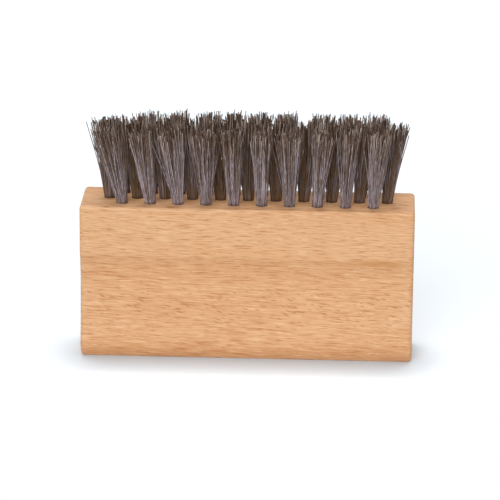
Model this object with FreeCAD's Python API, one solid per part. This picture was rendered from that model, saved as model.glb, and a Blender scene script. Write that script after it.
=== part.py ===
import FreeCAD, Part
import math
import os

# Suede brush: a beech block filled with three staggered rows of bristle tufts.
# Every tuft is a bundle of filaments folded over a flat metal anchor, which bites into
# the wood at the bottom of a blind drilled hole. Above the hole the filaments gather in
# locks, each of which is one tapered shaft here.
# Frame: origin at the centre of the base, X along the block, +Y to the back, +Z to the tips.
# Lengths are in millimetres, angles in degrees.

# Block
block_length = 120.0
block_depth = 26.0
block_height = 57.0
head_height = 18.0
cove_height = 11.5
waist_inset = 2.8
foot_overhang = 1.7
head_edge_radius = 2.4
foot_edge_radius = 8.0
sole_trim = 2.5
end_edge_radius = 1.6
top_edge_radius = 1.2

# Drilled holes
end_margin = 10.0
side_margin = 6.5
hole_diameter = 4.2
hole_depth = 11.0
drill_point_depth = 1.2
outer_row_tufts = 10
middle_row_tufts = 11
end_fan_angle = 6.0
row_tilt_angle = 10.0

# Tufts and the locks of filaments in them
tuft_length = 27.5
splay_radius = 5.2
tip_gap = 0.1
tip_crown = 0.8
uneven_cut = 0.7
lock_count = 22
lock_gap = 0.12
lock_sink = 0.2
fold_radius = 1.0
fold_thickness = 0.9

# Lean of every tuft to the right after use, from the left end to the right one
front_leans = (-9.5, -6.0, -6.0, -2.0, -2.0, -0.5, -0.5, 2.0, 3.5, 4.0)
middle_leans = (-3.5, -5.0, -5.0, -4.0, -3.0, -1.0, 0.5, 2.5, 4.0, 5.5, 5.5)
back_leans = (-9.0, -5.0, -3.5, 0.5, -1.3, -3.8, -4.5, 1.8, 4.0, 2.5)

# Anchors
anchor_thickness = 0.4
anchor_height = 2.4
anchor_bite = 0.4

# Clearances, and the overrun of every cut
root_clearance = 0.1
anchor_clearance = 0.05
cut_overrun = 3.0

# Sizes that follow from the ones above
half_depth = block_depth / 2
half_length = block_length / 2
waist_half_depth = half_depth - waist_inset
foot_half_depth = half_depth + foot_overhang
head_edge_level = block_height - head_height
waist_level = head_edge_level - cove_height
row_gap = half_depth - side_margin
middle_row_reach = half_length - end_margin
tuft_pitch = 2 * middle_row_reach / (middle_row_tufts - 1)
root_radius = hole_diameter / 2 - root_clearance
root_length = hole_depth - root_clearance
anchor_width = hole_diameter + 2 * anchor_bite
anchor_level = fold_thickness - root_length

GOLDEN_ANGLE = math.pi * (3 - math.sqrt(5))
ALONG_X = FreeCAD.Vector(1, 0, 0)
ALONG_Y = FreeCAD.Vector(0, 1, 0)
ALONG_Z = FreeCAD.Vector(0, 0, 1)
CENTRE = FreeCAD.Vector(0, 0, 0)


def arc_from_waist(inset, height, side):
    """Arc that leaves the waist upright and swings out by inset over a signed height."""
    radius = (height ** 2 + inset ** 2) / (2 * inset)
    half_sweep = math.asin(abs(height) / radius) / 2
    rise = math.copysign(radius * math.sin(half_sweep), height)
    swing = radius * (1 - math.cos(half_sweep))
    start = profile_point(side * waist_half_depth, waist_level)
    middle = profile_point(side * (waist_half_depth + swing), waist_level + rise)
    end = profile_point(side * (waist_half_depth + inset), waist_level + height)
    return Part.Arc(start, middle, end).toShape()


def profile_point(across, level):
    """Point of the block's cross-section, on its left end."""
    return FreeCAD.Vector(-half_length, across, level)


def block_profile():
    """Closed cross-section with a finger cove and a flared foot on both sides, before planing."""
    edges = []
    for side in (-1, 1):
        head_top = profile_point(side * half_depth, block_height)
        head_edge = profile_point(side * half_depth, head_edge_level)
        edges.append(Part.makeLine(head_top, head_edge))
        edges.append(arc_from_waist(waist_inset, cove_height, side))
        edges.append(arc_from_waist(waist_inset + foot_overhang, -waist_level - sole_trim, side))
    for reach, level in ((half_depth, block_height), (foot_half_depth, -sole_trim)):
        edges.append(Part.makeLine(profile_point(-reach, level), profile_point(reach, level)))
    return Part.Face(Part.Wire(Part.__sortEdges__(edges)))


def long_edges(solid, lowest, highest):
    """Edges along the whole block whose level lies between two levels."""
    return [edge for edge in solid.Edges
            if edge.BoundBox.XLength > half_length and lowest < edge.CenterOfMass.z < highest]


def end_edges(solid):
    """Edges around both ends of the block, apart from those of the bristle face."""
    ends = [face for face in solid.Faces
            if abs(face.CenterOfMass.x) > half_length - end_edge_radius]
    return [edge for face in ends for edge in face.Edges
            if edge.CenterOfMass.z < block_height - top_edge_radius]


def bristle_face_edges(solid):
    """Edges around the face that the tufts stand in."""
    top = max(solid.Faces, key=lambda face: face.CenterOfMass.z)
    return top.Edges


def planed_sole():
    """Box around the block whose bottom is the flat sole, rounded at both ends of it."""
    reach = foot_half_depth + cut_overrun
    corner = FreeCAD.Vector(-half_length, -reach, 0)
    box = Part.makeBox(block_length, 2 * reach, block_height + cut_overrun, corner)
    ends = [edge for edge in box.Edges
            if edge.BoundBox.YLength > reach and edge.CenterOfMass.z < end_edge_radius]
    return box.makeFillet(end_edge_radius, ends)


def rounded_block():
    """Block blank with eased edges and a flat sole, before drilling."""
    blank = block_profile().extrude(ALONG_X * block_length)
    foot = long_edges(blank, -foot_edge_radius, foot_edge_radius)
    blank = blank.makeFillet(foot_edge_radius, foot)
    head = long_edges(blank, head_edge_level - head_edge_radius, head_edge_level + head_edge_radius)
    blank = blank.makeFillet(head_edge_radius, head)
    blank = blank.makeFillet(end_edge_radius, end_edges(blank))
    blank = blank.makeFillet(top_edge_radius, bristle_face_edges(blank))
    return blank.common(planed_sole())


def hole_cutter():
    """Drill shape of one blind hole, mouth at the origin."""
    radius = hole_diameter / 2
    barrel = Part.makeCylinder(radius, hole_depth + cut_overrun, -hole_depth * ALONG_Z)
    point = Part.makeCone(radius, 0, drill_point_depth, -hole_depth * ALONG_Z, -ALONG_Z)
    return barrel.fuse(point).removeSplitter()


def anchor_plate(clearance):
    """Flat anchor near the bottom of a hole, or its pocket when it has a clearance."""
    thickness = anchor_thickness + 2 * clearance
    width = anchor_width + 2 * clearance
    height = anchor_height + 2 * clearance
    corner = FreeCAD.Vector(-thickness / 2, -width / 2, anchor_level - clearance)
    return Part.makeBox(thickness, width, height, corner)


def folded_shank():
    """Held part of a tuft, from its fold round the anchor up to the mouth of the hole."""
    fold_lift = fold_radius * (1 - math.cos(math.pi / 4))
    fold_bottom = FreeCAD.Vector(0, 0, -root_length)
    fold_start = FreeCAD.Vector(root_radius - fold_radius, 0, -root_length)
    fold_middle = FreeCAD.Vector(root_radius - fold_lift, 0, fold_lift - root_length)
    fold_end = FreeCAD.Vector(root_radius, 0, fold_radius - root_length)
    mouth_edge = FreeCAD.Vector(root_radius, 0, 0)
    outline = Part.Wire([
        Part.makeLine(fold_bottom, fold_start),
        Part.Arc(fold_start, fold_middle, fold_end).toShape(),
        Part.makeLine(fold_end, mouth_edge),
        Part.makeLine(mouth_edge, CENTRE),
        Part.makeLine(CENTRE, fold_bottom),
    ])
    shank = Part.Face(outline).revolve(CENTRE, ALONG_Z, 360)
    return shank.cut(anchor_plate(anchor_clearance))


def lock_spots(turn):
    """Middles of the locks on a disc of radius 1, spread evenly by the golden angle."""
    spots = []
    for index in range(lock_count):
        reach = math.sqrt((index + 0.5) / (lock_count - 0.5))
        angle = turn + index * GOLDEN_ANGLE
        spots.append(FreeCAD.Vector(reach * math.cos(angle), reach * math.sin(angle), 0))
    return spots


def nearest_distance(point, points):
    """Distance from one point to the nearest other one."""
    return min(point.distanceToPoint(other) for other in points if other is not point)


def lock_radius(bundle_radius):
    """Radius of equal locks that fill a round bundle, with the lock gap between the nearest two."""
    spots = lock_spots(0)
    nearest = min(nearest_distance(spot, spots) for spot in spots)
    return (bundle_radius * nearest - lock_gap) / (2 + nearest)


def tuft_locks(tip_radius, sway, turn):
    """Tapered locks of one tuft, fanned out from its mouth, swayed along the row and cut unevenly."""
    root_lock = lock_radius(root_radius)
    tip_lock = lock_radius(tip_radius)
    locks = []
    for index, spot in enumerate(lock_spots(turn)):
        root = spot * (root_radius - root_lock) - lock_sink * ALONG_Z
        crown = tip_crown * (1 - spot.Length ** 2)
        cut = uneven_cut * math.cos((index + turn) ** 2)
        tip = spot * (tip_radius - tip_lock) + FreeCAD.Vector(sway, 0, tuft_length + crown + cut)
        shaft = tip - root
        locks.append(Part.makeCone(root_lock, tip_lock, shaft.Length, root, shaft))
    return locks


def fan_angle(along):
    """Outward turn of a hole, which grows from the middle of its row to the ends."""
    return end_fan_angle * along / middle_row_reach


def tuft_row(across, tilt, count, leans):
    """Placement of every hole in one row, with the sway of its tuft's tip off the hole's axis."""
    row = []
    for index in range(count):
        along = (index - (count - 1) / 2) * tuft_pitch
        fan = FreeCAD.Rotation(ALONG_Y, fan_angle(along))
        mouth = FreeCAD.Vector(along, across, block_height)
        place = FreeCAD.Placement(mouth, FreeCAD.Rotation(ALONG_X, tilt).multiply(fan))
        bend = leans[index % len(leans)] - fan_angle(along)
        row.append((place, tuft_length * math.tan(math.radians(bend))))
    return row


def placed(shape, place):
    """Copy of a shape made at the origin, moved into one hole."""
    moved = shape.copy()
    moved.Placement = place
    return moved


def main():
    os.makedirs("parts", exist_ok=True)
    rows = {
        "front": tuft_row(-row_gap, row_tilt_angle, outer_row_tufts, front_leans),
        "middle": tuft_row(0, 0, middle_row_tufts, middle_leans),
        "back": tuft_row(row_gap, -row_tilt_angle, outer_row_tufts, back_leans),
    }
    tips = {(row, number): place.multVec(FreeCAD.Vector(sway, 0, tuft_length))
            for row, tufts in rows.items() for number, (place, sway) in enumerate(tufts, start=1)}
    shank = folded_shank()
    anchor = anchor_plate(0)
    hole = hole_cutter()
    pocket = anchor_plate(anchor_clearance)

    cutters = [placed(shape, place) for tufts in rows.values() for place, _ in tufts
               for shape in (hole, pocket)]
    rounded_block().cut(cutters).exportStep("parts/handle_block.step")

    for row, tufts in rows.items():
        for number, (place, sway) in enumerate(tufts, start=1):
            room = (nearest_distance(tips[row, number], tips.values()) - tip_gap) / 2
            locks = tuft_locks(min(splay_radius, room), sway, number * GOLDEN_ANGLE)
            tuft = shank.multiFuse(locks)
            placed(tuft, place).exportStep(f"parts/tuft_{row}_{number:02d}.step")
        anchors = Part.makeCompound([placed(anchor, place) for place, _ in tufts])
        anchors.exportStep(f"parts/anchors_{row}.step")


main()
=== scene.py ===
"""Suede brush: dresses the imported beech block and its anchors, and grows the bristle tufts."""

import logging
import math
import random
from dataclasses import dataclass, field
from enum import Enum
from typing import Any

import bpy
import numpy as np
from mathutils import Matrix, Vector


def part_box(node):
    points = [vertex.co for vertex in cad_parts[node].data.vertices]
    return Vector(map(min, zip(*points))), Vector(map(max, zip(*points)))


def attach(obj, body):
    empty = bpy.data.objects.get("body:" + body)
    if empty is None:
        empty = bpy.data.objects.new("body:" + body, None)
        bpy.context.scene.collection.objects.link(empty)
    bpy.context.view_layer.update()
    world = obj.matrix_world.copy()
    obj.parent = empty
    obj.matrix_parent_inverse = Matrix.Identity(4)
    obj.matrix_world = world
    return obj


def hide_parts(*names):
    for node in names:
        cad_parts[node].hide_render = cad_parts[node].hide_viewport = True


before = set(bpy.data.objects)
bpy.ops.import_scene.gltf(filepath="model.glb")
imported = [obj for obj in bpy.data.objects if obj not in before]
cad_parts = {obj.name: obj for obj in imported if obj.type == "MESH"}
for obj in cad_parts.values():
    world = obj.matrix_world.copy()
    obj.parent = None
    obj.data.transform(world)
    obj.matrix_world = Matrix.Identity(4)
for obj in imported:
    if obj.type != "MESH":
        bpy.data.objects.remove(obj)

Tree = bpy.types.NodeTree
Socket = bpy.types.NodeSocket
Span = tuple[float, float]
Triple = tuple[float, float, float]

LOG = logging.getLogger("suede_brush")
MM = 0.001
GOLDEN_SHARE = (math.sqrt(5) - 1) / 2
GOLDEN_ANGLE = math.pi * (3 - math.sqrt(5))
# Length of one band of Blender's wave texture at a scale of 1.
WAVE_LENGTH = math.tau / 20
BODY = "root"
BLOCK_NODE = "handle_block"


def srgb(code: str) -> tuple[float, float, float, float]:
    """Turn an sRGB hex colour into Blender's linear colour.

    Args:
        code: colour as #RRGGBB.

    Returns:
        Linear red, green, blue and an alpha of 1.
    """
    channels = [int(code[place:place + 2], 16) / 255 for place in (1, 3, 5)]
    linear = [c / 12.92 if c <= 0.04045 else ((c + 0.055) / 1.055) ** 2.4 for c in channels]
    return (*linear, 1.0)


def add_node(tree: Tree, kind: str, inputs: dict[int | str, Any] | None = None,
             **settings: Any) -> bpy.types.Node:
    """Add a node to a tree, with its settings and its links.

    Args:
        tree: node tree that takes the node.
        kind: Blender's name for the kind of node.
        inputs: a value or another node's output for each input, by the input's name or number.
        **settings: the node's own properties.

    Returns:
        The new node.
    """
    node = tree.nodes.new(kind)
    for name, value in settings.items():
        setattr(node, name, value)
    for key, value in (inputs or {}).items():
        if isinstance(value, bpy.types.NodeSocket):
            tree.links.new(value, node.inputs[key])
        else:
            node.inputs[key].default_value = value
    return node


def new_material(name: str) -> tuple[bpy.types.Material, Tree]:
    """Make an empty node material.

    Args:
        name: the material's name.

    Returns:
        The material and its cleared node tree.
    """
    material = bpy.data.materials.new(name)
    material.use_nodes = True
    material.node_tree.nodes.clear()
    return material, material.node_tree


def seen_directly(tree: Tree) -> Socket:
    """Tell whether a ray comes from the camera, a mirror or a glass.

    Args:
        tree: tree of a stage material or of the world.

    Returns:
        1 for such a ray, and 0 for one that only lights something.
    """
    path = add_node(tree, "ShaderNodeLightPath").outputs
    glossy = add_node(tree, "ShaderNodeMath", {0: path["Is Camera Ray"], 1: path["Is Glossy Ray"]},
                      operation="MAXIMUM")
    return add_node(tree, "ShaderNodeMath", {0: glossy.outputs[0], 1: path["Is Transmission Ray"]},
                    operation="MAXIMUM").outputs[0]


def dress_node(node: str, material: bpy.types.Material) -> None:
    """Put one material in every slot of a CAD node.

    Args:
        node: the node's name.
        material: its finish.
    """
    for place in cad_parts[node].material_slots:
        place.material = material
    LOG.info("%s: %s", node, material.name)


class Row(Enum):
    """Rows of tufts, as the camera sees them."""

    FRONT = "front"
    MIDDLE = "middle"
    BACK = "back"


@dataclass(frozen=True)
class SandedBeech:
    """Bare beech, planed and sanded.

    The eye sees a warm pale ground, dense wavy streaks along the grain, light beside dark, and short brown
    dashes, which are the rays cut across on the broad sides. It has a dull sheen. Each streak stands for
    a bundle of pores, which are too fine to show one by one. A pattern's size is given along, up and into
    the block.
    """

    name: str = "sanded_beech"
    pale: str = "#E6B486"
    deep: str = "#DCA575"
    bright: str = "#F6CDA0"
    line: str = "#C4834C"
    ray: str = "#A3602A"
    amber: str = "#CB904A"
    bright_strength: float = 0.75
    line_strength: float = 1.0
    ray_strength: float = 0.8
    amber_strength: float = 0.6
    band_size: Triple = (120 * MM, 9 * MM, 16 * MM)
    pale_to_deep: Span = (0.3, 0.7)
    ring_width: float = 2.6 * MM
    ring_share: float = 0.1
    wave_size: Triple = (28 * MM, 9 * MM, 20 * MM)
    wave_height: float = 1.4 * MM
    line_size: Triple = (7 * MM, 0.43 * MM, 1 * MM)
    dark_span: Span = (0.53, 0.72)
    light_span: Span = (0.47, 0.28)
    ray_size: Triple = (4.6 * MM, 1.0 * MM, 1.0)
    ray_reach: Span = (0.18, 0.42)
    ray_core: float = 0.05
    ray_contrast: float = 1.5
    level_slope: float = 2.5
    level_boldness: float = 0.5
    swirl_slope: float = 17.0
    swirl_boldness: float = 1.0
    swirl_levels: Span = (9 * MM, 31 * MM)
    streak_place: Triple = (46 * MM, 37.6 * MM, -11 * MM)
    streak_size: Triple = (14 * MM, 1.7 * MM, 6 * MM)
    streak_fade: Span = (1.2, 0.2)
    pore_depth: float = 0.05 * MM
    pore_strength: float = 0.25
    ground_roughness: float = 0.62
    ray_roughness: float = 0.5
    ior: float = 1.5

    def build(self) -> bpy.types.Material:
        """Lay the streaks, the rays and the amber streak over the ground colour.

        Returns:
            The finished beech.
        """
        material, tree = new_material(self.name)
        coords = add_node(tree, "ShaderNodeTexCoord").outputs
        axes = add_node(tree, "ShaderNodeSeparateXYZ", {0: coords["Object"]}).outputs
        facing = add_node(tree, "ShaderNodeSeparateXYZ", {0: coords["Normal"]}).outputs[1]
        broad = add_node(tree, "ShaderNodeMath", {0: facing}, operation="ABSOLUTE").outputs[0]
        board = add_node(tree, "ShaderNodeCombineXYZ", {0: axes[0], 1: axes[2], 2: axes[1]}).outputs[0]
        wavy = self.wavy_board(tree, board)
        dark, light = self.grain_lines(tree, wavy)
        dashes = self.ray_dashes(tree, wavy, axes[2])
        rays = add_node(tree, "ShaderNodeMath", {0: dashes, 1: broad}, operation="MULTIPLY").outputs[0]
        coats = (
            (light, self.bright, self.bright_strength),
            (dark, self.line, self.line_strength),
            (rays, self.ray, self.ray_strength),
            (self.amber_streak(tree, board), self.amber, self.amber_strength),
        )
        colour = self.ground_colour(tree, board)
        for share, shade, strength in coats:
            weight = add_node(tree, "ShaderNodeMath", {0: share, 1: strength}, operation="MULTIPLY")
            colour = add_node(tree, "ShaderNodeMix", {
                0: weight.outputs[0], 6: colour, 7: srgb(shade),
            }, data_type="RGBA").outputs[2]
        relief = add_node(tree, "ShaderNodeMath", {0: dark, 1: rays}, operation="ADD")
        bump = add_node(tree, "ShaderNodeBump", {
            "Strength": self.pore_strength, "Distance": self.pore_depth, "Height": relief.outputs[0],
        }, invert=True)
        rough = add_node(tree, "ShaderNodeMapRange", {
            "Value": rays, "To Min": self.ground_roughness, "To Max": self.ray_roughness,
        })
        shader = add_node(tree, "ShaderNodeBsdfPrincipled", {
            "Base Color": colour, "Roughness": rough.outputs[0], "Normal": bump.outputs[0], "IOR": self.ior,
        })
        add_node(tree, "ShaderNodeOutputMaterial", {"Surface": shader.outputs[0]})
        return material

    def wavy_board(self, tree: Tree, board: Socket) -> Socket:
        """Let the grain run in slow waves.

        Args:
            tree: the material's tree.
            board: place along, up and into the block.

        Returns:
            The same place, moved up or down by the wave.
        """
        spread = add_node(tree, "ShaderNodeMapping", {
            "Vector": board, "Scale": self.wave_size,
        }, vector_type="TEXTURE")
        noise = add_node(tree, "ShaderNodeTexNoise", {
            "Vector": spread.outputs[0], "Scale": 1.0, "Detail": 1.0,
        })
        lift = add_node(tree, "ShaderNodeMath", {0: noise.outputs[0], 1: self.wave_height},
                        operation="MULTIPLY")
        shift = add_node(tree, "ShaderNodeCombineXYZ", {1: lift.outputs[0]})
        return add_node(tree, "ShaderNodeVectorMath", {0: board, 1: shift.outputs[0]},
                        operation="ADD").outputs[0]

    def ground_colour(self, tree: Tree, board: Socket) -> Socket:
        """Mix the pale and the deeper wood by broad bands and growth rings.

        Args:
            tree: the material's tree.
            board: place along, up and into the block.

        Returns:
            Colour of the wood between its lines and rays.
        """
        spread = add_node(tree, "ShaderNodeMapping", {
            "Vector": board, "Scale": self.band_size,
        }, vector_type="TEXTURE")
        bands = add_node(tree, "ShaderNodeTexNoise", {
            "Vector": spread.outputs[0], "Scale": 1.0, "Detail": 3.0,
        })
        rings = add_node(tree, "ShaderNodeTexWave", {
            "Vector": board, "Scale": WAVE_LENGTH / self.ring_width, "Distortion": 2.5, "Detail": 2.0,
        }, bands_direction="Z")
        blend = add_node(tree, "ShaderNodeMix", {
            0: self.ring_share, 2: bands.outputs[0], 3: rings.outputs["Fac"],
        })
        ramp = add_node(tree, "ShaderNodeValToRGB", {0: blend.outputs[0]})
        stops = zip(ramp.color_ramp.elements, self.pale_to_deep, (self.pale, self.deep))
        for stop, position, shade in stops:
            stop.position = position
            stop.color = srgb(shade)
        return ramp.outputs[0]

    def grain_lines(self, tree: Tree, board: Socket) -> tuple[Socket, Socket]:
        """Draw the dense streaks along the block.

        Args:
            tree: the material's tree.
            board: place along, up and into the block.

        Returns:
            Strength of the dark streaks and of the light ones, from 0 to 1.
        """
        spread = add_node(tree, "ShaderNodeMapping", {
            "Vector": board, "Rotation": (0, 0, math.radians(-self.level_slope)), "Scale": self.line_size,
        }, vector_type="TEXTURE")
        noise = add_node(tree, "ShaderNodeTexNoise", {
            "Vector": spread.outputs[0], "Scale": 1.0, "Detail": 2.0, "Roughness": 0.6,
        })
        dark, light = (add_node(tree, "ShaderNodeMapRange", {
            "Value": noise.outputs[0], "From Min": weak, "From Max": full,
        }).outputs[0] for weak, full in (self.dark_span, self.light_span))
        return dark, light

    def ray_dashes(self, tree: Tree, board: Socket, level: Socket) -> Socket:
        """Scatter ray dashes, level over most of the block and slanting in the swirl of its lower half.

        Args:
            tree: the material's tree.
            board: place along, up and into the block.
            level: height above the base.

        Returns:
            Strength of the dashes, from 0 to 1.
        """
        shortest, longest = self.ray_reach
        layers = []
        for slope, boldness in ((self.level_slope, self.level_boldness),
                                (self.swirl_slope, self.swirl_boldness)):
            spread = add_node(tree, "ShaderNodeMapping", {
                "Vector": board, "Rotation": (0, 0, math.radians(-slope)), "Scale": self.ray_size,
            }, vector_type="TEXTURE")
            cells = add_node(tree, "ShaderNodeTexVoronoi", {"Vector": spread.outputs[0], "Scale": 1.0},
                             voronoi_dimensions="2D")
            chance = add_node(tree, "ShaderNodeSeparateColor", {0: cells.outputs["Color"]}).outputs
            reach = add_node(tree, "ShaderNodeMapRange", {
                "Value": chance[0], "To Min": shortest, "To Max": longest,
            })
            dash = add_node(tree, "ShaderNodeMapRange", {
                "Value": cells.outputs["Distance"], "From Min": reach.outputs[0], "From Max": self.ray_core,
                "To Max": boldness,
            }, interpolation_type="SMOOTHSTEP")
            depth = add_node(tree, "ShaderNodeMath", {0: chance[1], 1: self.ray_contrast}, operation="POWER")
            layer = add_node(tree, "ShaderNodeMath", {0: dash.outputs[0], 1: depth.outputs[0]},
                             operation="MULTIPLY")
            layers.append(layer.outputs[0])
        low, high = self.swirl_levels
        swirl = add_node(tree, "ShaderNodeMapRange", {
            "Value": level, "From Min": low, "From Max": high, "To Max": math.pi,
        })
        share = add_node(tree, "ShaderNodeMath", {0: swirl.outputs[0]}, operation="SINE")
        return add_node(tree, "ShaderNodeMix", {
            0: share.outputs[0], 2: layers[0], 3: layers[1],
        }).outputs[0]

    def amber_streak(self, tree: Tree, board: Socket) -> Socket:
        """Draw the amber streak in the cove near the right end.

        Args:
            tree: the material's tree.
            board: place along, up and into the block.

        Returns:
            Strength of the streak, from 0 to 1.
        """
        centred = add_node(tree, "ShaderNodeMapping", {
            "Vector": board, "Location": self.streak_place, "Scale": self.streak_size,
        }, vector_type="TEXTURE")
        far = add_node(tree, "ShaderNodeVectorMath", {0: centred.outputs[0]}, operation="LENGTH")
        edge, core = self.streak_fade
        return add_node(tree, "ShaderNodeMapRange", {
            "Value": far.outputs["Value"], "From Min": edge, "From Max": core,
        }, interpolation_type="SMOOTHSTEP").outputs[0]


@dataclass(frozen=True)
class NylonBristle:
    """Extruded nylon filament, dyed in the melt.

    The eye sees fine hairs from dark brown to mauve grey, each with lighter and darker lengths, browner and
    darker towards the tips, with painted shade where it leaves its hole, and a dull gleam. The shades run
    from the darkest hair to the lightest.
    """

    name: str = "nylon_bristle"
    inner_stops: Span = (0.35, 0.6)
    root_shades: tuple[str, ...] = ("#5C3F18", "#7B6246", "#867779", "#CCC0C6")
    tip_shades: tuple[str, ...] = ("#241405", "#5E4732", "#857061", "#CDBDB2")
    tip_shades_from: float = 0.6
    # Painted shade where a hair leaves its hole: its colour, the share of the free length it covers, its
    # strength.
    painted_mouth_shade: str = "#4A2C1E"
    painted_shade_share: float = 0.05
    painted_shade_strength: float = 0.6
    fleck_size: Triple = (0.5 * MM, 0.5 * MM, 5 * MM)
    fleck_span: Span = (0.3, 0.7)
    fleck_swing: float = 0.24
    gleam: str = "#DED4E6"
    roughness: float = 0.4
    ior: float = 1.53

    def build(self) -> bpy.types.Material:
        """Colour a hair by its own tone, its flecks and the place along it.

        Returns:
            The finished bristle, which reads the attributes tone and along.
        """
        material, tree = new_material(self.name)
        tone, along = (add_node(tree, "ShaderNodeAttribute", attribute_name=name).outputs["Fac"]
                       for name in ("tone", "along"))
        place = add_node(tree, "ShaderNodeTexCoord").outputs["Object"]
        spread = add_node(tree, "ShaderNodeMapping", {
            "Vector": place, "Scale": self.fleck_size,
        }, vector_type="TEXTURE")
        noise = add_node(tree, "ShaderNodeTexNoise", {"Vector": spread.outputs[0], "Scale": 1.0})
        low, high = self.fleck_span
        fleck = add_node(tree, "ShaderNodeMapRange", {
            "Value": noise.outputs[0], "From Min": low, "From Max": high,
            "To Min": -self.fleck_swing, "To Max": self.fleck_swing,
        })
        flecked = add_node(tree, "ShaderNodeMath", {0: tone, 1: fleck.outputs[0]}, operation="ADD")
        root, tip = (self.dyed(tree, flecked.outputs[0], shades)
                     for shades in (self.root_shades, self.tip_shades))
        # Browner and darker towards the tips, over the top part of the free length.
        toward_tip = add_node(tree, "ShaderNodeMapRange", {"Value": along, "From Min": self.tip_shades_from})
        hair = add_node(tree, "ShaderNodeMix", {0: toward_tip.outputs[0], 6: root, 7: tip}, data_type="RGBA")
        # Painted shade: each hair darkens over the first part of its free length, at the mouth of its hole.
        sunk = add_node(tree, "ShaderNodeMapRange", {
            "Value": along, "From Max": self.painted_shade_share, "To Min": self.painted_shade_strength, "To Max": 0.0,
        })
        colour = add_node(tree, "ShaderNodeMix", {
            0: sunk.outputs[0], 6: hair.outputs[2], 7: srgb(self.painted_mouth_shade),
        }, data_type="RGBA")
        shader = add_node(tree, "ShaderNodeBsdfPrincipled", {
            "Base Color": colour.outputs[2], "Roughness": self.roughness, "IOR": self.ior,
            "Specular Tint": srgb(self.gleam),
        })
        add_node(tree, "ShaderNodeOutputMaterial", {"Surface": shader.outputs[0]})
        return material

    def dyed(self, tree: Tree, tone: Socket, shades: tuple[str, ...]) -> Socket:
        """Turn a hair's tone into its colour.

        Args:
            tree: the material's tree.
            tone: 0 for the darkest hair and 1 for the lightest.
            shades: colours at 0, at the inner stops and at 1.

        Returns:
            The colour.
        """
        ramp = add_node(tree, "ShaderNodeValToRGB", {0: tone})
        for position in self.inner_stops:
            ramp.color_ramp.elements.new(position)
        for stop, shade in zip(ramp.color_ramp.elements, shades):
            stop.color = srgb(shade)
        return ramp.outputs[0]


@dataclass(frozen=True)
class CutSteelWire:
    """Flat steel wire, cut to length: grey metal with drawn lines, hidden in the holes."""

    name: str = "cut_steel_wire"
    shade: str = "#A9AAAC"
    line_size: Triple = (0.2 * MM, 3 * MM, 0.1 * MM)
    roughness: Span = (0.25, 0.5)

    def build(self) -> bpy.types.Material:
        """Draw the lines that the die left in the steel's sheen.

        Returns:
            The finished steel.
        """
        material, tree = new_material(self.name)
        place = add_node(tree, "ShaderNodeTexCoord").outputs["Object"]
        drawn = add_node(tree, "ShaderNodeMapping", {
            "Vector": place, "Scale": self.line_size,
        }, vector_type="TEXTURE")
        noise = add_node(tree, "ShaderNodeTexNoise", {"Vector": drawn.outputs[0], "Scale": 1.0})
        smooth, rough = self.roughness
        sheen = add_node(tree, "ShaderNodeMapRange", {
            "Value": noise.outputs[0], "To Min": smooth, "To Max": rough,
        })
        shader = add_node(tree, "ShaderNodeBsdfPrincipled", {
            "Base Color": srgb(self.shade), "Metallic": 1.0, "Roughness": sheen.outputs[0],
        })
        add_node(tree, "ShaderNodeOutputMaterial", {"Surface": shader.outputs[0]})
        return material


@dataclass(frozen=True)
class StudioPaper:
    """Matt white paper sweep: plain white to the eye, with the soft grey shadow at the foot of the block.

    The paper glows a little for rays that see it directly. An occlusion test aimed up and behind dims this
    glow near the block: a painted shadow, which deepens the real shadow of the lamps at the block's foot.
    """

    name: str = "studio_paper"
    shade: str = "#F0F0F0"
    seen_shade: str = "#C8D2DB"
    glow: float = 0.49
    painted_shadow_reach: float = 17 * MM
    painted_shadow_depth: float = 1.5
    light_from: Triple = (0.0, 0.6, 0.8)

    def build(self) -> bpy.types.Material:
        """Add the paper's glow to its plain matt white.

        Returns:
            The finished floor.
        """
        material, tree = new_material(self.name)
        seen = seen_directly(tree)
        colour = add_node(tree, "ShaderNodeMix", {
            0: seen, 6: srgb(self.shade), 7: srgb(self.seen_shade),
        }, data_type="RGBA")
        paper = add_node(tree, "ShaderNodeBsdfDiffuse", {"Color": colour.outputs[2]})
        behind = add_node(tree, "ShaderNodeCombineXYZ", dict(enumerate(self.light_from)))
        # Painted shadow: ambient occlusion, aimed up and behind, dims the glow near the block.
        clear = add_node(tree, "ShaderNodeAmbientOcclusion", {
            "Distance": self.painted_shadow_reach, "Normal": behind.outputs[0],
        })
        painted_shadow = add_node(tree, "ShaderNodeMath", {0: clear.outputs["AO"], 1: self.painted_shadow_depth},
                          operation="POWER")
        glow_under_painted_shadow = add_node(tree, "ShaderNodeMath", {0: painted_shadow.outputs[0], 1: self.glow}, operation="MULTIPLY")
        strength = add_node(tree, "ShaderNodeMath", {0: seen, 1: glow_under_painted_shadow.outputs[0]}, operation="MULTIPLY")
        glow = add_node(tree, "ShaderNodeEmission", {"Strength": strength.outputs[0]})
        both = add_node(tree, "ShaderNodeAddShader", {0: paper.outputs[0], 1: glow.outputs[0]})
        add_node(tree, "ShaderNodeOutputMaterial", {"Surface": both.outputs[0]})
        return material


@dataclass
class HandleBlock:
    """The drilled beech block, which keeps its CAD shape."""

    finish: SandedBeech = field(default_factory=SandedBeech)

    @property
    def top(self) -> float:
        """Level of the face that the tufts stand in."""
        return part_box(BLOCK_NODE)[1][2]

    def dress(self) -> None:
        """Give the block its finish."""
        dress_node(BLOCK_NODE, self.finish.build())


@dataclass
class Anchors:
    """The flat wire anchors at the bottom of the holes, which keep their CAD shape."""

    finish: CutSteelWire = field(default_factory=CutSteelWire)

    def dress(self) -> None:
        """Give the anchors of every row their finish."""
        steel = self.finish.build()
        for row in Row:
            dress_node(f"anchors_{row.value}", steel)


@dataclass(frozen=True)
class Stand:
    """How one CAD tuft stands in the block.

    Args:
        hole: frame with its origin at the hole's mouth, Z along the hole and Y along the anchor.
        lean: offset of the tip's middle from the hole's axis.
        splay: radius of the tip.
    """

    hole: Matrix
    lean: Vector
    splay: float


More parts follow.
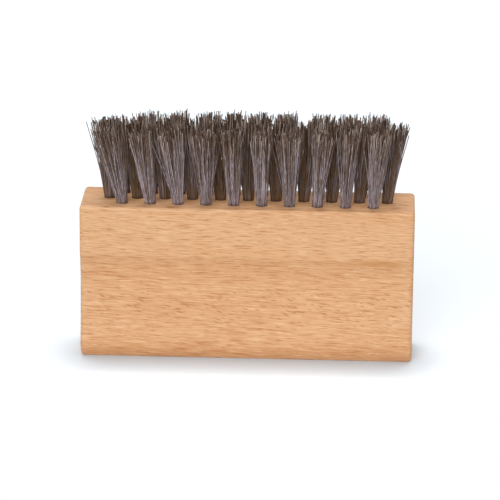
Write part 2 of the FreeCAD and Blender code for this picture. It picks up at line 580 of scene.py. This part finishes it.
@dataclass
class TuftField:
    """Three rows of tufts, each a bundle of filaments folded over its anchor and gathered in locks.

    The steps are the points of a leg round the anchor, in the hole and above it. The frays say how far a
    tuft opens, as a share of its CAD tip, and lock_looseness how far the hairs of a lock part. The cut and
    the unevenness make locks and hairs longer or shorter, sway and straggle lean them aside, and the bow
    bends a hair in a wave. What short_tufts holds is missing from a tuft's length. The painted root tones
    are the darkest and the lightest tone at the hole, from 0 to 1, for each row: the front row's lighter
    roots are painted light, and the inner rows' darker roots are painted shade from the tufts around them.
    """

    block_top: float
    finish: NylonBristle = field(default_factory=NylonBristle)
    hairpins: int = 66
    fold_steps: int = 2
    shank_steps: int = 1
    free_steps: int = 6
    filament_sides: int = 5
    filament_radius: float = 0.15 * MM
    root_radius: float = 2.0 * MM
    free_length: float = 27.5 * MM
    tip_share: float = 0.85
    fray: float = 1.0
    front_fray: tuple[float, ...] = (1.15, 1.0, 1.0, 1.0, 0.9, 0.65, 1.0, 0.5, 0.7, 0.85)
    locks: int = 22
    lock_gap: float = 0.12 * MM
    lock_looseness: float = 2.0
    lock_cut: float = 0.7 * MM
    lock_sway: float = 0.8 * MM
    crown: float = 0.8 * MM
    anchor_depth: float = 10.0 * MM
    fold_depth: float = 0.7 * MM
    anchor_room: float = 0.38 * MM
    anchor_squeeze: float = 0.8
    unevenness: float = 1.8 * MM
    straggle: float = 1.5 * MM
    straggle_span: Span = (0.5, 3.4)
    straggle_rarity: float = 9.0
    bow: float = 0.8 * MM
    bow_turns: float = 0.75
    lock_tone_share: float = 0.3
    short_tufts: dict[str, float] = field(default_factory=lambda: {"tuft_back_01": 2 * MM})
    # Painted light and shade by row: lighter roots in the front row, darker roots in the inner rows.
    painted_root_tones: dict[Row, Span] = field(default_factory=lambda: {
        Row.FRONT: (0.5, 0.9), Row.MIDDLE: (0.12, 0.62), Row.BACK: (0.35, 0.8),
    })
    field_seed: int = 31
    bow_seed: int = 3
    length_seed: int = 5
    straggle_seed: int = 7

    def build(self) -> None:
        """Grow every tuft in the place of its CAD node."""
        tree = self.tuft_tree()
        finish = self.finish.build()
        chance = random.Random(self.field_seed)
        for row in Row:
            nodes = sorted(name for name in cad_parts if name.startswith(f"tuft_{row.value}_"))
            frays = self.front_fray if row is Row.FRONT else [self.fray] * len(nodes)
            for number, (node, fray) in enumerate(zip(nodes, frays), start=1):
                self.grow(node, row, number * GOLDEN_ANGLE, fray, tree, finish, seed=chance.randrange(1000))

    def grow(self, node: str, row: Row, turn: float, fray: float, tree: Tree,
             finish: bpy.types.Material, seed: int) -> None:
        """Grow one tuft as a plain mesh that replaces its CAD node.

        Args:
            node: the CAD node's name.
            row: the tuft's row.
            turn: angle of the tuft's first lock.
            fray: how far the tuft opens, as a share of the CAD tip.
            tree: the tuft's node tree.
            finish: the bristles' material.
            seed: seed of the tuft's own irregularity.
        """
        name = node.replace("tuft", "bristles")
        piece = bpy.data.objects.new(name, bpy.data.meshes.new(name))
        bpy.context.scene.collection.objects.link(piece)
        growth = piece.modifiers.new("growth", "NODES")
        growth.node_group = tree
        stand = self.measure(node)
        darkest, lightest = self.painted_root_tones[row]
        sizes = {
            "Hairpins": self.hairpins,
            "Locks": self.locks,
            "Root Radius": self.root_radius,
            "Root Ring": self.root_radius - self.lock_radius(self.root_radius),
            "Tip Ring": fray * (stand.splay - self.lock_radius(stand.splay)),
            "Lock Looseness": self.lock_looseness,
            "Lock Cut": self.lock_cut,
            "Lock Sway": self.lock_sway,
            "Free Length": self.free_length - self.short_tufts.get(node, 0.0),
            "Anchor Depth": self.anchor_depth,
            "Fold Depth": self.fold_depth,
            "Anchor Room": self.anchor_room,
            "Filament Radius": self.filament_radius,
            "Crown": self.crown,
            "Unevenness": self.unevenness,
            "Straggle": self.straggle,
            "Bow": self.bow,
            "Lean": stand.lean,
            "Darkest Painted Root": darkest,
            "Lightest Painted Root": lightest,
            "Turn": turn,
            "Seed": seed,
            "Finish": finish,
        }
        for socket in tree.interface.items_tree:
            if socket.in_out == "INPUT":
                growth[socket.identifier] = sizes[socket.name]
        grown = piece.evaluated_get(bpy.context.evaluated_depsgraph_get())
        mesh = bpy.data.meshes.new_from_object(grown)
        piece.modifiers.clear()
        piece.data = mesh
        mesh.transform(stand.hole)
        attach(piece, BODY)
        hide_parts(node)
        LOG.info("%s: %d filament ends, %d faces", name, 2 * self.hairpins, len(mesh.polygons))

    def measure(self, node: str) -> Stand:
        """Find a tuft's hole, lean and splay from its CAD node.

        Args:
            node: the CAD node's name.

        Returns:
            How the tuft stands.
        """
        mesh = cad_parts[node].data
        held = [face for face in mesh.polygons if face.center.z < self.block_top - self.root_radius]
        areas = np.array([face.area for face in held])
        normals = np.array([face.normal for face in held])
        centre = np.average([face.center for face in held], axis=0, weights=areas)
        axis = np.linalg.svd(normals * np.sqrt(areas)[:, None])[2][2]
        up = Vector(axis * np.sign(axis[2]))
        right = Vector((0, 1, 0)).cross(up).normalized()
        turn = Matrix((right, up.cross(right), up)).transposed().to_4x4()
        mouth = Vector(centre) + up * (self.block_top - centre[2]) / up.z
        hole = Matrix.Translation(mouth) @ turn

        inward = hole.inverted()
        places = np.array([inward @ vertex.co for vertex in mesh.vertices])
        tips = places[places[:, 2] > self.tip_share * self.free_length, :2]
        middle = tips.mean(axis=0)
        return Stand(hole, Vector((*middle, 0)), np.linalg.norm(tips - middle, axis=1).max())

    def lock_radius(self, bundle_radius: float) -> float:
        """Find the radius of the equal locks that fill a bundle, as in the CAD tufts.

        Args:
            bundle_radius: radius of the bundle.

        Returns:
            Radius of one lock.
        """
        numbers = np.arange(self.locks)
        spots = np.sqrt((numbers + 0.5) / (self.locks - 0.5)) * np.exp(1j * numbers * GOLDEN_ANGLE)
        between = np.abs(spots[:, None] - spots)
        nearest = between[between > 0].min()
        return (bundle_radius * nearest - self.lock_gap) / (2 + nearest)

    def tuft_tree(self) -> Tree:
        """Build the node tree that grows one tuft, with its mouth at the origin.

        Returns:
            The tree, whose inputs are the tuft's sizes, lean, painted root tones, turn, seed and finish.
        """
        tree = bpy.data.node_groups.new("bristle_tuft", "GeometryNodeTree")
        inputs = {
            "NodeSocketInt": ("Hairpins", "Locks", "Seed"),
            "NodeSocketFloat": (
                "Root Radius", "Root Ring", "Tip Ring", "Lock Looseness", "Lock Cut", "Lock Sway",
                "Free Length", "Anchor Depth", "Fold Depth", "Anchor Room", "Filament Radius", "Crown",
                "Unevenness", "Straggle", "Bow", "Darkest Painted Root", "Lightest Painted Root", "Turn",
            ),
            "NodeSocketVector": ("Lean",),
            "NodeSocketMaterial": ("Finish",),
        }
        for kind, names in inputs.items():
            for name in names:
                tree.interface.new_socket(name, in_out="INPUT", socket_type=kind)
        tree.interface.new_socket("Tuft", in_out="OUTPUT", socket_type="NodeSocketGeometry")
        size = add_node(tree, "NodeGroupInput").outputs

        fold = self.fold_steps + self.shank_steps + self.free_steps
        steps = 2 * fold + 1
        index = add_node(tree, "GeometryNodeInputIndex").outputs[0]
        strand = add_node(tree, "FunctionNodeIntegerMath", {0: index, 1: steps},
                          operation="DIVIDE_FLOOR").outputs[0]
        step = add_node(tree, "FunctionNodeIntegerMath", {0: index, 1: steps}, operation="MODULO").outputs[0]
        centred = add_node(tree, "ShaderNodeMath", {0: step, 1: fold}, operation="SUBTRACT").outputs[0]
        side = add_node(tree, "ShaderNodeMath", {0: centred}, operation="SIGN").outputs[0]
        climb = add_node(tree, "ShaderNodeMath", {0: centred}, operation="ABSOLUTE").outputs[0]
        right_leg = add_node(tree, "ShaderNodeMath", {0: side, 1: 0.0}, operation="GREATER_THAN").outputs[0]
        leg = add_node(tree, "ShaderNodeMath", {0: strand, 1: 2.0, 2: right_leg},
                       operation="MULTIPLY_ADD").outputs[0]

        root = self.root_field(tree, size, strand, side)
        held = self.held_field(tree, size, root, side, climb)
        along = add_node(tree, "ShaderNodeMapRange", {
            "Value": climb, "From Min": self.fold_steps + self.shank_steps, "From Max": fold,
        }).outputs[0]
        lock = self.lock_field(tree, size, index, root)
        free = self.free_field(tree, size, root, lock, leg, along)
        place = add_node(tree, "ShaderNodeVectorMath", {0: held, 1: free}, operation="ADD").outputs[0]
        tone = self.tone_field(tree, size, lock, leg, along)

        count = add_node(tree, "FunctionNodeIntegerMath", {0: size["Hairpins"], 1: steps},
                         operation="MULTIPLY")
        shape = add_node(tree, "GeometryNodePoints", {
            "Count": count.outputs[0], "Position": place,
        }).outputs[0]
        for name, value in (("along", along), ("tone", tone)):
            shape = add_node(tree, "GeometryNodeStoreNamedAttribute", {
                "Geometry": shape, "Name": name, "Value": value,
            }).outputs[0]
        hairs = add_node(tree, "GeometryNodePointsToCurves", {
            0: shape, "Curve Group ID": strand, "Weight": step,
        })
        section = add_node(tree, "GeometryNodeCurvePrimitiveCircle", {
            "Resolution": self.filament_sides, "Radius": size["Filament Radius"],
        })
        skin = add_node(tree, "GeometryNodeCurveToMesh", {
            "Curve": hairs.outputs[0], "Profile Curve": section.outputs[0], "Fill Caps": True,
        })
        smooth = add_node(tree, "GeometryNodeSetShadeSmooth", {0: skin.outputs[0]})
        real = add_node(tree, "GeometryNodeRealizeInstances", {0: smooth.outputs[0]})
        dressed = add_node(tree, "GeometryNodeSetMaterial", {0: real.outputs[0], "Material": size["Finish"]})
        add_node(tree, "NodeGroupOutput", {0: dressed.outputs[0]})
        return tree

    def root_field(self, tree: Tree, size: Any, strand: Socket, side: Socket) -> Socket:
        """Spread the legs of the hairpins evenly over the hole's mouth.

        Args:
            tree: the tuft's tree.
            size: outputs of the tree's inputs.
            strand: number of the hairpin.
            side: -1 for the left leg and 1 for the right one.

        Returns:
            Place of a leg in the mouth.
        """
        golden = add_node(tree, "ShaderNodeMath", {0: strand, 1: GOLDEN_SHARE}, operation="MULTIPLY")
        turn = add_node(tree, "ShaderNodeMath", {0: golden.outputs[0]}, operation="FRACT")
        angle = add_node(tree, "ShaderNodeMapRange", {
            "Value": turn.outputs[0], "To Min": -math.pi / 2, "To Max": math.pi / 2,
        })
        inside = add_node(tree, "ShaderNodeMath", {0: strand, 1: 0.5}, operation="ADD")
        share = add_node(tree, "ShaderNodeMath", {0: inside.outputs[0], 1: size["Hairpins"]},
                         operation="DIVIDE")
        spread = add_node(tree, "ShaderNodeMath", {0: share.outputs[0]}, operation="SQRT")
        room = add_node(tree, "ShaderNodeMath", {0: size["Root Radius"], 1: size["Filament Radius"]},
                        operation="SUBTRACT")
        radius = add_node(tree, "ShaderNodeMath", {0: room.outputs[0], 1: spread.outputs[0]},
                          operation="MULTIPLY")
        arm = add_node(tree, "ShaderNodeCombineXYZ", {"X": radius.outputs[0]})
        turned = add_node(tree, "ShaderNodeVectorRotate", {
            "Vector": arm.outputs[0], "Angle": angle.outputs[0],
        }, rotation_type="Z_AXIS")
        mirror = add_node(tree, "ShaderNodeCombineXYZ", {"X": side, "Y": 1.0, "Z": 1.0})
        return add_node(tree, "ShaderNodeVectorMath", {0: turned.outputs[0], 1: mirror.outputs[0]},
                        operation="MULTIPLY").outputs[0]

    def held_field(self, tree: Tree, size: Any, root: Socket, side: Socket, climb: Socket) -> Socket:
        """Lead each hairpin round its anchor and up to the mouth.

        Args:
            tree: the tuft's tree.
            size: outputs of the tree's inputs.
            root: place of the leg in the mouth.
            side: -1 for the left leg and 1 for the right one.
            climb: steps from the fold.

        Returns:
            Place of a point inside the hole; above the mouth it stays at the root.
        """
        angle = add_node(tree, "ShaderNodeMapRange", {
            "Value": climb, "From Max": self.fold_steps, "To Max": math.pi / 2,
        }).outputs[0]
        across = add_node(tree, "ShaderNodeMath", {0: angle}, operation="SINE").outputs[0]
        below = add_node(tree, "ShaderNodeMath", {0: angle}, operation="COSINE").outputs[0]
        room = add_node(tree, "ShaderNodeMath", {0: side, 1: size["Anchor Room"]}, operation="MULTIPLY")
        push = add_node(tree, "ShaderNodeCombineXYZ", {"X": room.outputs[0]})
        parted = add_node(tree, "ShaderNodeVectorMath", {
            0: root, 1: (self.anchor_squeeze, 1.0, 1.0), 2: push.outputs[0],
        }, operation="MULTIPLY_ADD")
        drop = add_node(tree, "ShaderNodeMath", {0: below, 1: size["Fold Depth"], 2: size["Anchor Depth"]},
                        operation="MULTIPLY_ADD")
        level = add_node(tree, "ShaderNodeMath", {0: drop.outputs[0], 1: -1.0}, operation="MULTIPLY")
        squeeze = add_node(tree, "ShaderNodeCombineXYZ", {"X": across, "Y": 1.0, "Z": 1.0})
        sunk = add_node(tree, "ShaderNodeCombineXYZ", {"Z": level.outputs[0]})
        deep = add_node(tree, "ShaderNodeVectorMath", {
            0: parted.outputs[0], 1: squeeze.outputs[0], 2: sunk.outputs[0],
        }, operation="MULTIPLY_ADD")
        rise = add_node(tree, "ShaderNodeMapRange", {
            "Value": climb, "From Min": self.fold_steps, "From Max": self.fold_steps + self.shank_steps,
        })
        return add_node(tree, "ShaderNodeMix", {0: rise.outputs[0], 4: deep.outputs[0], 5: root},
                        data_type="VECTOR").outputs[1]

    def lock_spot(self, tree: Tree, size: Any, number: Socket) -> Socket:
        """Place a lock on a disc of radius 1 by the golden angle, as in the CAD tufts.

        Args:
            tree: the tuft's tree.
            size: outputs of the tree's inputs.
            number: number of the lock.

        Returns:
            Middle of the lock.
        """
        inside = add_node(tree, "ShaderNodeMath", {0: number, 1: 0.5}, operation="ADD").outputs[0]
        whole = add_node(tree, "ShaderNodeMath", {0: size["Locks"], 1: 0.5}, operation="SUBTRACT").outputs[0]
        share = add_node(tree, "ShaderNodeMath", {0: inside, 1: whole}, operation="DIVIDE").outputs[0]
        reach = add_node(tree, "ShaderNodeMath", {0: share}, operation="SQRT").outputs[0]
        angle = add_node(tree, "ShaderNodeMath", {0: number, 1: GOLDEN_ANGLE, 2: size["Turn"]},
                         operation="MULTIPLY_ADD").outputs[0]
        arm = add_node(tree, "ShaderNodeCombineXYZ", {"X": reach}).outputs[0]
        return add_node(tree, "ShaderNodeVectorRotate", {"Vector": arm, "Angle": angle},
                        rotation_type="Z_AXIS").outputs[0]

    def lock_field(self, tree: Tree, size: Any, index: Socket, root: Socket) -> Socket:
        """Give each leg to the lock that lies nearest to it in the mouth.

        Args:
            tree: the tuft's tree.
            size: outputs of the tree's inputs.
            index: number of a point.
            root: place of the leg in the mouth.

        Returns:
            Number of the leg's lock.
        """
        spots = add_node(tree, "GeometryNodePoints", {
            "Count": size["Locks"], "Position": self.lock_spot(tree, size, index),
        })
        fineness = add_node(tree, "ShaderNodeMath", {0: 1.0, 1: size["Root Ring"]}, operation="DIVIDE")
        on_disc = add_node(tree, "ShaderNodeVectorMath", {0: root, "Scale": fineness.outputs[0]},
                           operation="SCALE")
        return add_node(tree, "GeometryNodeSampleNearest", {
            0: spots.outputs[0], "Sample Position": on_disc.outputs[0],
        }).outputs[0]

    def tone_field(self, tree: Tree, size: Any, lock: Socket, leg: Socket, along: Socket) -> Socket:
        """Give each hair a tone of its own, near its lock's, within the row's range at the root.

        Args:
            tree: the tuft's tree.
            size: outputs of the tree's inputs.
            lock: number of the leg's lock.
            leg: number of the leg.
            along: part of the free length below the point, from 0 to 1.

        Returns:
            Tone of a point, from 0 for dark to 1 for light.
        """
        own, shared = (add_node(tree, "FunctionNodeRandomValue", {
            "ID": bearer, "Seed": size["Seed"],
        }).outputs[1] for bearer in (leg, lock))
        tone = add_node(tree, "ShaderNodeMix", {0: self.lock_tone_share, 2: own, 3: shared}).outputs[0]
        # Painted light and shade: the row's range at the root lightens the front row and darkens the inner
        # rows.
        painted_root_tone = add_node(tree, "ShaderNodeMapRange", {
            "Value": tone, "To Min": size["Darkest Painted Root"], "To Max": size["Lightest Painted Root"],
        })
        return add_node(tree, "ShaderNodeMix", {0: along, 2: painted_root_tone.outputs[0], 3: tone}).outputs[0]

    def free_field(self, tree: Tree, size: Any, root: Socket, lock: Socket, leg: Socket,
                   along: Socket) -> Socket:
        """Let each leg fan out with its lock, lean, bow and straggle above the mouth.

        Args:
            tree: the tuft's tree.
            size: outputs of the tree's inputs.
            root: place of the leg in the mouth.
            lock: number of the leg's lock.
            leg: number of the leg.
            along: part of the free length below the point, from 0 to 1.

        Returns:
            Distance of a point from its root.
        """
        spot = self.lock_spot(tree, size, lock)
        tip = self.tip_field(tree, size, root, spot, lock, leg)
        aside = add_node(tree, "ShaderNodeVectorMath", {0: tip, 1: root}, operation="SUBTRACT")
        sideways = add_node(tree, "ShaderNodeVectorMath", {0: aside.outputs[0], "Scale": along},
                            operation="SCALE")

        phase = add_node(tree, "ShaderNodeMath", {0: along, 1: self.bow_turns * math.tau},
                         operation="MULTIPLY")
        swell = add_node(tree, "ShaderNodeMath", {0: phase.outputs[0]}, operation="SINE")
        for growing in (along, size["Bow"]):
            swell = add_node(tree, "ShaderNodeMath", {0: swell.outputs[0], 1: growing}, operation="MULTIPLY")
        bend = add_node(tree, "FunctionNodeRandomValue", {
            0: (-1, -1, 0), 1: (1, 1, 0), "ID": leg, "Seed": self.bow_seed,
        }, data_type="FLOAT_VECTOR")
        bow = add_node(tree, "ShaderNodeVectorMath", {0: bend.outputs[0], "Scale": swell.outputs[0]},
                       operation="SCALE")

        height = self.height_field(tree, size, spot, lock, leg)
        level = add_node(tree, "ShaderNodeMath", {0: height, 1: along}, operation="MULTIPLY")
        upward = add_node(tree, "ShaderNodeCombineXYZ", {"Z": level.outputs[0]})

        free = sideways
        for part in (bow, upward):
            free = add_node(tree, "ShaderNodeVectorMath", {0: free.outputs[0], 1: part.outputs[0]},
                            operation="ADD")
        return free.outputs[0]

    def tip_field(self, tree: Tree, size: Any, root: Socket, spot: Socket, lock: Socket,
                  leg: Socket) -> Socket:
        """Find where a leg ends, seen along the hole.

        Args:
            tree: the tuft's tree.
            size: outputs of the tree's inputs.
            root: place of the leg in the mouth.
            spot: middle of the leg's lock on a disc of radius 1.
            lock: number of the leg's lock.
            leg: number of the leg.

        Returns:
            Place of the leg's end, without its height.
        """
        middle = add_node(tree, "ShaderNodeVectorMath", {0: spot, "Scale": size["Root Ring"]},
                          operation="SCALE")
        apart = add_node(tree, "ShaderNodeVectorMath", {0: root, 1: middle.outputs[0]}, operation="SUBTRACT")
        luck = add_node(tree, "FunctionNodeRandomValue", {"ID": leg, "Seed": self.straggle_seed}).outputs[1]
        rare = add_node(tree, "ShaderNodeMath", {0: luck, 1: self.straggle_rarity}, operation="POWER")
        tamest, wildest = self.straggle_span
        loose = add_node(tree, "ShaderNodeMapRange", {
            "Value": rare.outputs[0], "To Min": tamest, "To Max": wildest,
        })
        reach = add_node(tree, "ShaderNodeMath", {0: loose.outputs[0], 1: size["Straggle"]},
                         operation="MULTIPLY")
        wild, sway = (add_node(tree, "FunctionNodeRandomValue", {
            0: (-1, -1, 0), 1: (1, 1, 0), "ID": bearer, "Seed": size["Seed"],
        }, data_type="FLOAT_VECTOR") for bearer in (leg, lock))
        tip = size["Lean"]
        for offset, length in ((apart.outputs[0], size["Lock Looseness"]), (spot, size["Tip Ring"]),
                               (wild.outputs[0], reach.outputs[0]), (sway.outputs[0], size["Lock Sway"])):
            part = add_node(tree, "ShaderNodeVectorMath", {0: offset, "Scale": length}, operation="SCALE")
            tip = add_node(tree, "ShaderNodeVectorMath", {0: tip, 1: part.outputs[0]},
                           operation="ADD").outputs[0]
        return tip

    def height_field(self, tree: Tree, size: Any, spot: Socket, lock: Socket, leg: Socket) -> Socket:
        """Find how high a leg ends above the mouth.

        Args:
            tree: the tuft's tree.
            size: outputs of the tree's inputs.
            spot: middle of the leg's lock on a disc of radius 1.
            lock: number of the leg's lock.
            leg: number of the leg.

        Returns:
            Height of the leg's end, with the crown, the lock's cut and the hair's own unevenness. The cut
            is the cosine of a square, as in the CAD tufts.
        """
        inner = add_node(tree, "ShaderNodeVectorMath", {0: spot, 1: spot}, operation="DOT_PRODUCT")
        height = add_node(tree, "ShaderNodeMapRange", {
            "Value": inner.outputs["Value"], "To Min": size["Crown"], "To Max": 0.0,
        }).outputs[0]
        phase = add_node(tree, "ShaderNodeMath", {0: lock, 1: size["Turn"]}, operation="ADD")
        phase = add_node(tree, "ShaderNodeMath", {0: phase.outputs[0], 1: 2.0}, operation="POWER")
        lock_cut = add_node(tree, "ShaderNodeMath", {0: phase.outputs[0]}, operation="COSINE").outputs[0]
        own_cut = add_node(tree, "FunctionNodeRandomValue", {
            2: -1.0, 3: 1.0, "ID": leg, "Seed": self.length_seed,
        }).outputs[1]
        for cut, reach in ((lock_cut, size["Lock Cut"]), (own_cut, size["Unevenness"]),
                           (1.0, size["Free Length"])):
            height = add_node(tree, "ShaderNodeMath", {0: cut, 1: reach, 2: height},
                              operation="MULTIPLY_ADD").outputs[0]
        return height


@dataclass(frozen=True)
class Lamp:
    """One soft lamp, far enough to light the whole floor evenly.

    Args:
        name: the lamp's name.
        azimuth: degrees round from the front, to the right.
        elevation: degrees above the floor.
        spread: degrees across its face, as seen from the brush.
        share: light on a surface that faces it, where 1 shows a colour as it is written.
    """

    name: str
    azimuth: float
    elevation: float
    spread: float
    share: float


@dataclass
class Studio:
    """White paper, soft lamps, pale surroundings and the camera."""

    aim: Vector = field(default_factory=lambda: Vector((0.78, 0.03, 37.9)) * MM)
    camera_azimuth: float = 2.17
    camera_elevation: float = 17.85
    camera_distance: float = 1.2
    camera_roll: float = 0.55
    focal_pixels: float = 3313.5
    frame_pixels: int = 500
    sensor_width: float = 36.0
    lamp_distance: float = 1.3
    lamps: tuple[Lamp, ...] = (
        Lamp("key_lamp", -9.0, 36.0, 36.0, 0.575),
        Lamp("top_lamp", -175.0, 79.0, 20.0, 0.31),
    )
    fill: float = 0.25
    floor_width: float = 6.0
    floor_gap: float = 0.1 * MM

    def build(self) -> None:
        """Set up the floor, the light and the camera."""
        bpy.context.scene.view_settings.view_transform = "Standard"
        self.lay_floor()
        self.light_surroundings()
        for lamp in self.lamps:
            self.hang(lamp)
        self.set_camera()

    def lay_floor(self) -> None:
        """Lay the paper just under the block."""
        half = self.floor_width / 2
        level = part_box(BLOCK_NODE)[0][2] - self.floor_gap
        corners = [(-half, -half, level), (half, -half, level), (half, half, level), (-half, half, level)]
        mesh = bpy.data.meshes.new("studio_floor")
        mesh.from_pydata(corners, [], [(0, 1, 2, 3)])
        mesh.materials.append(StudioPaper().build())
        floor = bpy.data.objects.new("studio_floor", mesh)
        bpy.context.scene.collection.objects.link(floor)

    def light_surroundings(self) -> None:
        """Make the surroundings white to look at and a mild light on the brush."""
        world = bpy.data.worlds.new("studio_surroundings")
        world.use_nodes = True
        tree = world.node_tree
        tree.nodes.clear()
        strength = add_node(tree, "ShaderNodeMapRange", {"Value": seen_directly(tree), "To Min": self.fill})
        white = add_node(tree, "ShaderNodeBackground", {
            "Color": (1, 1, 1, 1), "Strength": strength.outputs[0],
        })
        add_node(tree, "ShaderNodeOutputWorld", {"Surface": white.outputs[0]})
        bpy.context.scene.world = world

    def hang(self, lamp: Lamp) -> None:
        """Hang one soft lamp.

        Args:
            lamp: where it hangs and how much light it gives.
        """
        data = bpy.data.lights.new(lamp.name, "SUN")
        data.angle = math.radians(lamp.spread)
        data.energy = math.pi * lamp.share
        light = bpy.data.objects.new(lamp.name, data)
        light.matrix_world = self.looking_in(lamp.azimuth, lamp.elevation, self.lamp_distance)
        bpy.context.scene.collection.objects.link(light)

    def set_camera(self) -> None:
        """Stand the camera where the photograph was taken from."""
        data = bpy.data.cameras.new("camera")
        data.sensor_width = self.sensor_width
        data.lens = self.focal_pixels * self.sensor_width / self.frame_pixels
        camera = bpy.data.objects.new("camera", data)
        place = self.looking_in(self.camera_azimuth, self.camera_elevation, self.camera_distance)
        camera.matrix_world = place @ Matrix.Rotation(math.radians(self.camera_roll), 4, "Z")
        bpy.context.scene.collection.objects.link(camera)
        bpy.context.scene.camera = camera

    def looking_in(self, azimuth: float, elevation: float, distance: float) -> Matrix:
        """Place a lamp or camera round the brush, looking at it.

        Args:
            azimuth: degrees round from the front, to the right.
            elevation: degrees above the floor.
            distance: metres from the point that it looks at.

        Returns:
            Its frame, with -Z towards the brush.
        """
        around = Matrix.Rotation(math.radians(azimuth), 4, "Z")
        upwards = Matrix.Rotation(math.radians(90 - elevation), 4, "X")
        return Matrix.Translation(self.aim) @ around @ upwards @ Matrix.Translation((0, 0, distance))


def main() -> None:
    """Dress the brush and set it in the studio."""
    logging.basicConfig(level=logging.INFO, format="%(name)s: %(message)s")
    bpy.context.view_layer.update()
    block = HandleBlock()
    block.dress()
    Anchors().dress()
    TuftField(block.top).build()
    Studio().build()


if __name__ == "__main__":
    main()
